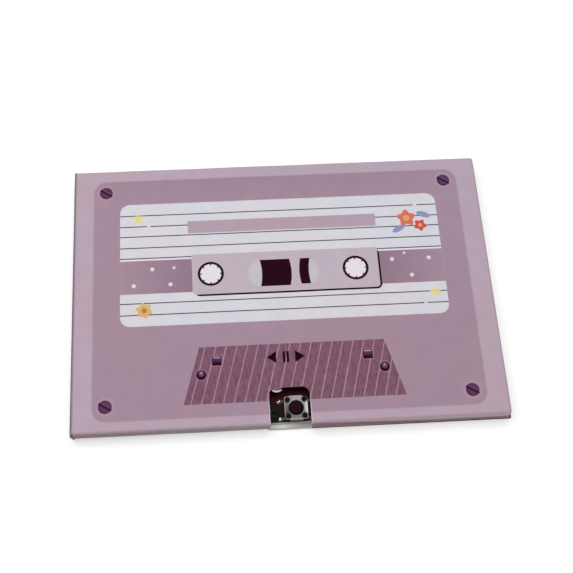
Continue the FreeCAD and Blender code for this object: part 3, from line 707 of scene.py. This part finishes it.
def metal_finish(name, dark, light, rough, stretch=(1, 1, 1), grain=6.0, depth=0.004):
    """Metal with drawn or brushed streaks."""
    return moulded_finish(name, dark, light, rough, grain, depth, 0.14, stretch, Metallic=1.0)


def solder_finish():
    """Bright solder, half hidden under dark flux that dried round it."""
    finish = Finish("solder_and_flux", Roughness=0.2)
    x, y, z = finish.axes()
    flux = finish.noise(0.7, 2.0, 0.5).ramp(0.48, 0.58)
    finish.feed("Metallic", 1 - flux)
    finish.feed("Base Color", finish.mix(flux, shown(196, 197, 200), shown(40, 34, 28)))
    finish.bump(finish.noise(2.0), 0.03)
    return finish.material


def key_finish():
    """The key: grainy brown-black plastic, with painted shade making it nearly black where its side drops into the
    plate's hole.
    """
    finish = Finish("key_moulding", Specular_IOR_Level=0.03)
    x, y, _ = finish.axes()
    middle = (plate_low + plate_high) / 2
    # Painted shade on the key's side, in the gap round it in the plate's hole
    side = length_of(x - middle[0], y - middle[1]).ramp(1.42, 1.62)
    grain = finish.noise(3.0, 3.0, 0.6)
    face = finish.mix(grain.ramp(0.35, 0.65), shown(17, 4, 7), shown(44, 16, 21))
    finish.feed("Base Color", finish.mix(side, face, shown(7, 3, 5)))
    finish.feed("Roughness", grain * 0.1 + 0.55)
    finish.bump(grain, 0.03)
    return finish.material


def plate_finish():
    """Tinned plate: fine brushing and smears; painted shade round the rivets, along the near and left sides and in the
    far corner; a painted glint on the right.
    """
    finish = Finish("stamped_plate", Metallic=1.0)
    x, y, z = finish.axes()
    low, high = plate_low, plate_high
    middle_x, middle_y = (low[0] + high[0]) / 2, (low[1] + high[1]) / 2
    across, along = abs(x - middle_x), abs(y - middle_y)
    rim = across.at_least(along).ramp(2.55, 2.7)
    # Painted shade: rings round the rivets, darker along the left side and towards the near side, kept off the rim
    grime_and_shade = 1 - length_of(across - 2.08, along - 2.08).ramp(0.6, 0.95)
    smear = finish.noise(0.5, 2.0, 0.5)
    brushed = finish.noise(5.0, 2.0, 0.6, (1, 0.15, 1))
    left_shade = (middle_x - 1.3 - x).ramp(0, 0.6) * 0.45
    near_shade = (middle_y + 1.2 - y).ramp(-0.4, 3.4) * 0.55
    smears_and_shade = (near_shade + left_shade + grime_and_shade * 0.8 + smear * 0.5 - 0.3) * (1 - rim * 0.75)
    tone = finish.mix(brushed.ramp(0.3, 0.7), shown(92, 89, 88), shown(116, 112, 111))
    # Painted glint along the right side
    glint = (x - high[0] + 0.75).ramp(0, 0.2) * bar(y, middle_y - 1.3, middle_y + 1.4, 0.4)
    tone = finish.mix(glint * 0.6, tone, shown(176, 178, 180))
    # Painted shade in the far corner
    far_corner_shade = (x - middle_x + y - middle_y).ramp(4.2, 4.8)
    finish.feed("Base Color", finish.mix(smears_and_shade.at_most(1).at_least(far_corner_shade), tone, shown(40, 36, 37)))
    finish.feed("Roughness", smear * 0.2 + 0.3)
    finish.bump(brushed, 0.005)
    return finish.material


# ---------------------------------------------------------------- operators


class CARD_OT_stage(bpy.types.Operator):
    """Pale floor, soft light and the camera"""

    bl_idname = "card.stage"
    bl_label = "Stage"

    def execute(self, context):
        scene = context.scene
        scene.view_settings.view_transform = "Standard"
        camera = bpy.data.objects.new("camera", bpy.data.cameras.new("camera"))
        camera.data.sensor_width = 36.0
        camera.data.lens = 57.342
        camera.data.shift_x, camera.data.shift_y = 0.04, 0.04
        camera.data.clip_start, camera.data.clip_end = 0.01, 20
        camera.location = (-0.014201, -0.08895, 0.221571)
        camera.rotation_euler = [math.radians(angle) for angle in (21.067, -1.074, -3.173)]
        scene.collection.objects.link(camera)
        scene.camera = camera

        lamp = bpy.data.objects.new("overhead", bpy.data.lights.new("overhead", "AREA"))
        lamp.data.shape = "RECTANGLE"
        lamp.data.size, lamp.data.size_y = 0.7, 0.5
        lamp.data.energy = 2.62
        lamp.location = (-0.12, 0.14, 0.6)
        lamp.rotation_euler = (math.radians(-13), math.radians(-11), 0)
        scene.collection.objects.link(lamp)

        floor = bpy.data.meshes.new("floor")
        half = 3.0
        floor.from_pydata([(-half, -half, 0), (half, -half, 0), (half, half, 0), (-half, half, 0)], [], [(0, 1, 2, 3)])
        ground = bpy.data.objects.new("floor", floor)
        scene.collection.objects.link(ground)
        floor.materials.append(self.floor_finish())
        self.sky(scene)
        return {"FINISHED"}

    def floor_finish(self):
        """White to the camera, with the card's shadow, and grey to the light it sends back."""
        finish = Finish("white_floor")
        tree = finish.tree
        seen = Field(finish, finish.tree.nodes.new("ShaderNodeLightPath").outputs["Is Camera Ray"])
        x, y, _ = finish.axes()
        far_off = length_of(x, y).ramp(180, 1400)
        white = finish.add("ShaderNodeBsdfDiffuse", {"Color": (0.72, 0.72, 0.72, 1)})
        light = finish.mix(far_off, (0.41, 0.41, 0.41, 1), (0.8, 0.8, 0.8, 1))
        glow = finish.add("ShaderNodeEmission", {"Color": light, "Strength": 1.0})
        both = finish.add("ShaderNodeAddShader", {0: white, 1: glow})
        grey = finish.add("ShaderNodeBsdfDiffuse", {"Color": (0.32, 0.32, 0.32, 1)})
        ground = finish.add("ShaderNodeMixShader", {0: seen, 1: grey, 2: both})
        tree.links.new(ground.socket, tree.nodes["Material Output"].inputs["Surface"])
        tree.nodes.remove(finish.shader)
        return finish.material

    def sky(self, scene):
        """White behind the card and in its reflections, softer as a lamp."""
        world = bpy.data.worlds.new("studio")
        world.use_nodes = True
        scene.world = world
        tree = world.node_tree
        path = tree.nodes.new("ShaderNodeLightPath")
        direct = tree.nodes.new("ShaderNodeMath")
        direct.operation = "MAXIMUM"
        tree.links.new(path.outputs["Is Camera Ray"], direct.inputs[0])
        glossy = tree.nodes.new("ShaderNodeMath")
        glossy.operation = "MAXIMUM"
        tree.links.new(path.outputs["Is Glossy Ray"], glossy.inputs[0])
        tree.links.new(path.outputs["Is Transmission Ray"], glossy.inputs[1])
        tree.links.new(glossy.outputs[0], direct.inputs[1])
        level = tree.nodes.new("ShaderNodeMapRange")
        level.inputs["To Min"].default_value = 0.45
        level.inputs["To Max"].default_value = 1.0
        tree.links.new(direct.outputs[0], level.inputs["Value"])
        tree.links.new(level.outputs[0], tree.nodes["Background"].inputs["Strength"])
        tree.nodes["Background"].inputs["Color"].default_value = (1, 1, 1, 1)


def fold_down(u, v, first, fold, thick):
    """Bends a flat blank down at its right, near and far edges.

    u and v run over the unfolded blank. Past the flat part's edge the sheet follows a quarter
    circle of the fold's radius and then drops straight; where two folds meet, the two
    distances set how far it goes and their ratio sets the direction, so the corner is round.
    Returns the outer face and the outward normals.
    """
    right, near, far = cover_high[0] - fold, cover_low[1] + fold, cover_high[1] - fold
    over_u = np.maximum(u - right, 0)
    over_v = np.maximum(v - far, 0) + np.maximum(near - v, 0)
    reach = np.maximum(over_u, over_v)
    safe = np.maximum(reach, 1e-9)
    turn = np.where(over_u >= over_v, over_v / safe, 2 - over_u / safe) * np.pi / 4
    side = np.where(v > 0, 1.0, -1.0)
    bend = np.minimum(reach / fold, np.pi / 2)
    drop = np.maximum(reach - fold * np.pi / 2, 0)
    out_x, out_y = np.cos(turn), np.sin(turn) * side
    flat = np.stack([np.clip(u, first, right), np.clip(v, near, far)], 2)
    x = flat[..., 0] + out_x * fold * np.sin(bend)
    y = flat[..., 1] + out_y * fold * np.sin(bend)
    z = cover_high[2] - fold * (1 - np.cos(bend)) - drop
    normal = np.stack([out_x * np.sin(bend), out_y * np.sin(bend), np.cos(bend)], 2)
    return np.stack([x, y, z], 2), normal



def notch_shape(u, v, corner, tongue, waver):
    """Moves the blank's points so that the notch's border gets its real outline.

    Near each inner corner squares round the corner's centre become circles. The top border
    hangs down in a low bump, and the cut strays from its line by a slow wave.
    """
    u, v = u.copy(), v.copy()
    for edge, side in ((NOTCH_LEFT, -1), (NOTCH_RIGHT, 1)):
        centre_u, centre_v = edge - side * corner, NOTCH_TOP - corner
        du, dv = (u - centre_u) * side, v - centre_v
        square = np.maximum(du, dv)
        inside = (du > 0) & (dv > 0)
        share = np.where(inside, square / np.maximum(np.hypot(du, dv), 1e-9), 1)
        fade = np.clip((2.4 * corner - square) / (1.4 * corner), 0, 1)
        scale = 1 + (share - 1) * fade * fade * (3 - 2 * fade)
        u = np.where(inside, centre_u + side * du * scale, u)
        v = np.where(inside, centre_v + dv * scale, v)
    above = np.clip((v - NOTCH_TOP + 3.5 * corner) / (3.5 * corner), 0, 1)
    above *= np.clip(1 - (v - NOTCH_TOP) / 3.0, 0, 1)
    v = v - tongue * np.exp(-np.abs((u + 3.45) / 1.1) ** 3.2) * above
    near_cut = np.exp(-np.maximum(np.abs(u + 0.4) - 5.0, 0)) * (v < NOTCH_TOP + 3)
    u = u + waver * np.sin(v * 1.7 + 0.6 * np.sin(v * 3.1)) * near_cut
    return u, v


class CARD_OT_cover_sheet(bpy.types.Operator):
    """Printed sheet of the cover, folded down on three sides and cut for the finger notch"""

    bl_idname = "card.cover_sheet"
    bl_label = "Cover sheet"

    def execute(self, context):
        size = sizes()
        fold = size.fold_round / MM
        thick = 0.4
        left = -53.56
        right, near, far = cover_high[0] - fold, cover_low[1] + fold, cover_high[1] - fold
        arc = fold * math.pi / 2
        fall = cover_high[2] - fold - cover_low[2]
        u = ladder(left, (-53.2, 2), (-9.6, 30), (NOTCH_LEFT, 14), (NOTCH_RIGHT, 36), (8.8, 14),
                   (right, 32), (right + arc, 8), (right + arc + fall, 5))
        v = ladder(near - arc - fall, (near - arc, 5), (near, 8), (NOTCH_TOP - 4, 10), (NOTCH_TOP, 16),
                   (NOTCH_TOP + 4, 14), (far, 40), (far + arc, 8), (far + arc + fall, 5))
        u, v = np.meshgrid(u, v, indexing="ij")
        middle_u = (u[:-1, :-1] + u[1:, 1:]) / 2
        middle_v = (v[:-1, :-1] + v[1:, 1:]) / 2
        keep = ~((middle_u > NOTCH_LEFT) & (middle_u < NOTCH_RIGHT) & (middle_v < NOTCH_TOP))
        flat = np.stack([(u - u.min()) / np.ptp(u), (v - v.min()) / np.ptp(v)], 2)
        side = np.maximum(np.maximum(NOTCH_LEFT - u, u - NOTCH_RIGHT), 0)
        reach = np.hypot(side, np.maximum(v - NOTCH_TOP, 0))
        bent_u, bent_v = notch_shape(u, v, size.notch_corner / MM, size.tongue_drop / MM,
                                     size.cut_waver / MM)
        inner, normal = fold_down(bent_u, bent_v, left, fold, thick)
        inner -= normal * thick
        inner[:, :, 0] += 0.12 * (u <= left)
        # The cut slants: at its border the printed side stands back from the inner side
        slant = size.cut_slant / MM * (reach < 1e-6)
        away_u = (u - (NOTCH_LEFT + NOTCH_RIGHT) / 2) / (NOTCH_RIGHT - NOTCH_LEFT) * 2
        away_v = 0.3 * np.clip((v - near) / (NOTCH_TOP - near), 0, 1)
        outer, normal = fold_down(bent_u + slant * away_u, bent_v + slant * away_v, left, fold, thick)
        relief = size.sheet_relief / MM * wander(bent_u, bent_v, 3, 34.0)
        outer = outer - normal * relief[..., None]
        edge = cut_edge_finish("board_cut_edge", shaded=True)
        materials = [print_finish("printed_front"), edge, paper_finish("sheet_inside")]
        sheet = closed_sheet("cover_sheet", outer, inner, keep, flat, materials, reach)
        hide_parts("front_cover")
        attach(sheet, "cover")
        return {"FINISHED"}


class CARD_OT_torn_lip(bpy.types.Operator):
    """White torn lip that curls down along the tongue in the notch"""

    bl_idname = "card.torn_lip"
    bl_label = "Torn lip"

    def execute(self, context):
        width = sizes().lip_width / MM
        # A crescent: along it the line dips and rises like a hanging arc; across it the strip is
        # widest in the middle and curls down like the inside of a pipe.
        s, t = np.meshgrid(np.linspace(-1, 1, 41), np.linspace(0, 1, 9), indexing="ij")
        swell = np.sqrt(np.maximum(1 - s * s, 0.0)) * width + 0.03
        x = -3.45 + 1.28 * s
        y = -27.12 - 0.2 * (1 - s * s) - swell * np.sin(t * 1.5) * 0.85
        z = 4.93 - swell * (1 - np.cos(t * 1.5)) * 0.8 - 0.12 * (1 - s * s)
        upper = np.stack([x, y, z], 2)
        tilt = np.stack([0 * x, -np.sin(t * 1.2), np.cos(t * 1.2)], 2)
        lower = upper - tilt * 0.1
        keep = np.ones((40, 8), bool)
        flat = np.stack([(s + 1) / 2, t], 2)
        fibre = cut_edge_finish()
        lip = closed_sheet("torn_lip", upper[:, ::-1], lower[:, ::-1], keep, flat, [fibre] * 3)
        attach(lip, "cover")
        return {"FINISHED"}


def trimmed_sheet(name, low, high, materials):
    """A flat sheet that fills a node's box, trimmed by hand.

    Its right corners are rounded: squares round a corner's centre become circles. Left of the
    notch its near edge is cut back, by a step that rises as 3t^2 - 2t^3.
    """
    corner, trim, strip = 0.3, 0.5, 1.2
    u = ladder(low[0], (NOTCH_LEFT - 1.5, 24), (NOTCH_LEFT, 12), (high[0] - corner, 30), (high[0], 4))
    v = ladder(low[1], (low[1] + corner, 6), (low[1] + strip, 4), (high[1] - corner, 30), (high[1], 6))
    u, v = np.meshgrid(u, v, indexing="ij")
    for side in (-1, 1):
        du, dv = u - (high[0] - corner), (v - side * (high[1] - corner)) * side
        rounded = (du > 0) & (dv > 0)
        share = np.where(rounded, np.maximum(du, dv) / np.maximum(np.hypot(du, dv), 1e-9), 1)
        u = np.where(rounded, high[0] - corner + du * share, u)
        v = np.where(rounded, side * (high[1] - corner) + side * dv * share, v)
    step = np.clip((NOTCH_LEFT - 0.1 - u) / 0.9, 0, 1)
    v = v + trim * step * step * (3 - 2 * step) * np.clip((low[1] + strip - v) / strip, 0, 1)
    flat = np.stack([(u - low[0]) / (high[0] - low[0]), (v - low[1]) / (high[1] - low[1])], 2)
    upper, lower = (np.stack([u, v, 0 * u + height], 2) for height in (high[2], low[2]))
    keep = np.ones((u.shape[0] - 1, u.shape[1] - 1), bool)
    return closed_sheet(name, upper, lower, keep, flat, materials)


class CARD_OT_papers(bpy.types.Operator):
    """Back leaf, lining, inner page, spine and foam core"""

    bl_idname = "card.papers"
    bl_label = "Papers"

    def execute(self, context):
        back = print_finish("printed_back", front=False)
        dress(back, "spine_strip")
        leaf = trimmed_sheet("leaf_sheet", leaf_low, leaf_high, [back] * 3)
        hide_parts("back_leaf")
        lining = trimmed_sheet("lining_sheet", lining_low, lining_high, [ruled_paper_finish()] * 3)
        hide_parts("back_lining")
        for sheet in (leaf, lining):
            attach(sheet, "back")
        dress(paper_finish(), "inner_page")
        dress(foam_finish(), "foam_core")
        return {"FINISHED"}


class CARD_OT_board(bpy.types.Operator):
    """Circuit board, its chips and the solder round the switch's legs"""

    bl_idname = "card.board"
    bl_label = "Circuit board"

    def execute(self, context):
        dress(board_finish(), "circuit_board")
        dress(moulded_finish("cured_resin", (12, 12, 13), (24, 24, 26), 0.28, 0.8, 0.05), "voice_chip")
        dress(moulded_finish("chip_body", (26, 26, 27), (40, 40, 42), 0.62, 5.0, 0.01),
              "memory_chip", "chip_resistors")
        dress(moulded_finish("chip_ceramic", (140, 118, 92), (166, 144, 116), 0.55, 3.0), "chip_capacitors")
        dress(metal_finish("tinned_leg", (150, 150, 148), (190, 190, 188), 0.3), "memory_legs")
        # The switch's legs: metal painted dark as shade, for the shadow they lie in under the plate
        dress(metal_finish("shade_darkened_leg", (44, 42, 40), (84, 80, 76), 0.45), "switch_legs")
        middle_x = (solder_low[0] + solder_high[0]) / 2
        middle_y = (solder_low[1] + solder_high[1]) / 2
        reach = (solder_high - solder_low) / 2 - 0.55
        base = board_high[2]
        height = solder_high[2] - base
        places = [(middle_x + i * reach[0], middle_y + j * reach[1], base) for i in (-1, 1) for j in (-1, 1)]
        # A fillet: the radius falls with the square of what is left of the height
        rise = np.linspace(0, 1, 10)
        curve = [(0.16 + 0.39 * (1 - h) ** 2.2, height * h) for h in rise]
        profile = [(0, 0), (0.5, 0), *curve, (0.08, height * 1.02), (0, height * 1.03)]
        beads = lathe("solder_beads", profile, places, 28, [solder_finish()])
        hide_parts("switch_solder")
        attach(beads, "cover")
        return {"FINISHED"}


class CARD_OT_switch(bpy.types.Operator):
    """Key switch: stamped plate, moulded base and rivets, contact dome and key"""

    bl_idname = "card.switch"
    bl_label = "Key switch"

    def execute(self, context):
        dress(plate_finish(), "switch_plate")
        dress(moulded_finish("switch_moulding", (10, 5, 7), (20, 12, 15), 0.5, 4.0, Specular_IOR_Level=0.04),
              "switch_base")
        dress(key_finish(), "switch_key")
        dress(metal_finish("contact_spring", (190, 180, 150), (220, 212, 186), 0.25), "switch_dome")
        for name in ("switch_plate", "switch_base", "switch_key"):
            weld = nodes[name].modifiers.new("weld", "WELD")
            weld.merge_threshold = 0.0005 * MM
            round_off = nodes[name].modifiers.new("edges", "BEVEL")
            round_off.width = 0.05 * MM
            round_off.segments = 2
            round_off.limit_method = "ANGLE"
            round_off.angle_limit = math.radians(40)
        return {"FINISHED"}


class CARD_OT_sound(bpy.types.Operator):
    """Speaker and microphone"""

    bl_idname = "card.sound"
    bl_label = "Speaker and microphone"

    def execute(self, context):
        steel = metal_finish("pressed_steel", (150, 150, 152), (188, 188, 190), 0.38)
        dress(steel, "speaker_basket", "speaker_pole")
        dress(metal_finish("plated_magnet", (118, 118, 120), (150, 150, 152), 0.32), "speaker_pot", "speaker_magnet")
        dress(metal_finish("enamelled_wire", (176, 98, 52), (206, 128, 76), 0.3, (1, 1, 9)), "speaker_coil")
        dress(moulded_finish("cone_film", (196, 190, 170), (216, 210, 192), 0.3, 1.5, 0.03), "speaker_cone")
        dress(moulded_finish("phenolic_strip", (150, 104, 52), (172, 124, 68), 0.6, 3.0, 0.02, stretch=(1, 0.2, 1)),
              "speaker_terminals")
        dress(metal_finish("drawn_can", (182, 183, 186), (212, 213, 216), 0.28, (1, 1, 0.2)), "microphone_can")
        dress(moulded_finish("capsule", (18, 18, 19), (30, 30, 32), 0.6), "microphone_capsule")
        dress(moulded_finish("felt", (16, 16, 16), (38, 38, 38), 0.95, 7.0, 0.08), "microphone_felt")
        dress(metal_finish("tinned_pin", (176, 176, 174), (208, 208, 206), 0.25), "microphone_pins")
        return {"FINISHED"}


class CARD_OT_battery(bpy.types.Operator):
    """Button cells, their tray, contact strips and the leads"""

    bl_idname = "card.battery"
    bl_label = "Cells and leads"

    def execute(self, context):
        dress(moulded_finish("tray_moulding", (216, 216, 212), (230, 230, 226), 0.5, 2.0), "battery_tray")
        cell = metal_finish("cell_can", (186, 186, 184), (214, 214, 212), 0.22, (1, 1, 0.2))
        dress(cell, "button_cell_1", "button_cell_2", "button_cell_3")
        strip = metal_finish("contact_strip", (180, 176, 162), (208, 204, 190), 0.3, (0.2, 1, 1))
        dress(strip, "battery_strips_lower", "battery_strips_upper")
        dress(moulded_finish("red_sheath", (140, 22, 22), (170, 34, 32), 0.45, 2.0), "speaker_lead_red", "battery_lead_red")
        dress(moulded_finish("black_sheath", (16, 16, 17), (30, 30, 31), 0.45, 2.0),
              "speaker_lead_black", "battery_lead_black")
        return {"FINISHED"}


operators = (CARD_OT_stage, CARD_OT_cover_sheet, CARD_OT_torn_lip, CARD_OT_papers, CARD_OT_board,
             CARD_OT_switch, CARD_OT_sound, CARD_OT_battery)


class CARD_PT_panel(bpy.types.Panel):
    """Sidebar panel with a button for each group of pieces and the settings"""

    bl_label = "Greeting card"
    bl_idname = "CARD_PT_panel"
    bl_space_type = "VIEW_3D"
    bl_region_type = "UI"
    bl_category = "Card"

    def draw(self, context):
        for operator in operators:
            self.layout.operator(operator.bl_idname)
        for group in (context.scene.card_sizes, context.scene.print_colours):
            for name in group.bl_rna.properties.keys():
                if name not in ("rna_type", "name"):
                    self.layout.prop(group, name)


classes = (CardSizes, PrintColours, *operators, CARD_PT_panel)


def register():
    for item in classes:
        bpy.utils.register_class(item)
    bpy.types.Scene.card_sizes = PointerProperty(type=CardSizes)
    bpy.types.Scene.print_colours = PointerProperty(type=PrintColours)


def unregister():
    del bpy.types.Scene.print_colours
    del bpy.types.Scene.card_sizes
    for item in reversed(classes):
        bpy.utils.unregister_class(item)


def main():
    register()
    bpy.ops.card.stage()
    bpy.ops.card.cover_sheet()
    bpy.ops.card.torn_lip()
    bpy.ops.card.papers()
    bpy.ops.card.board()
    bpy.ops.card.switch()
    bpy.ops.card.sound()
    bpy.ops.card.battery()


if __name__ == "__main__":
    main()
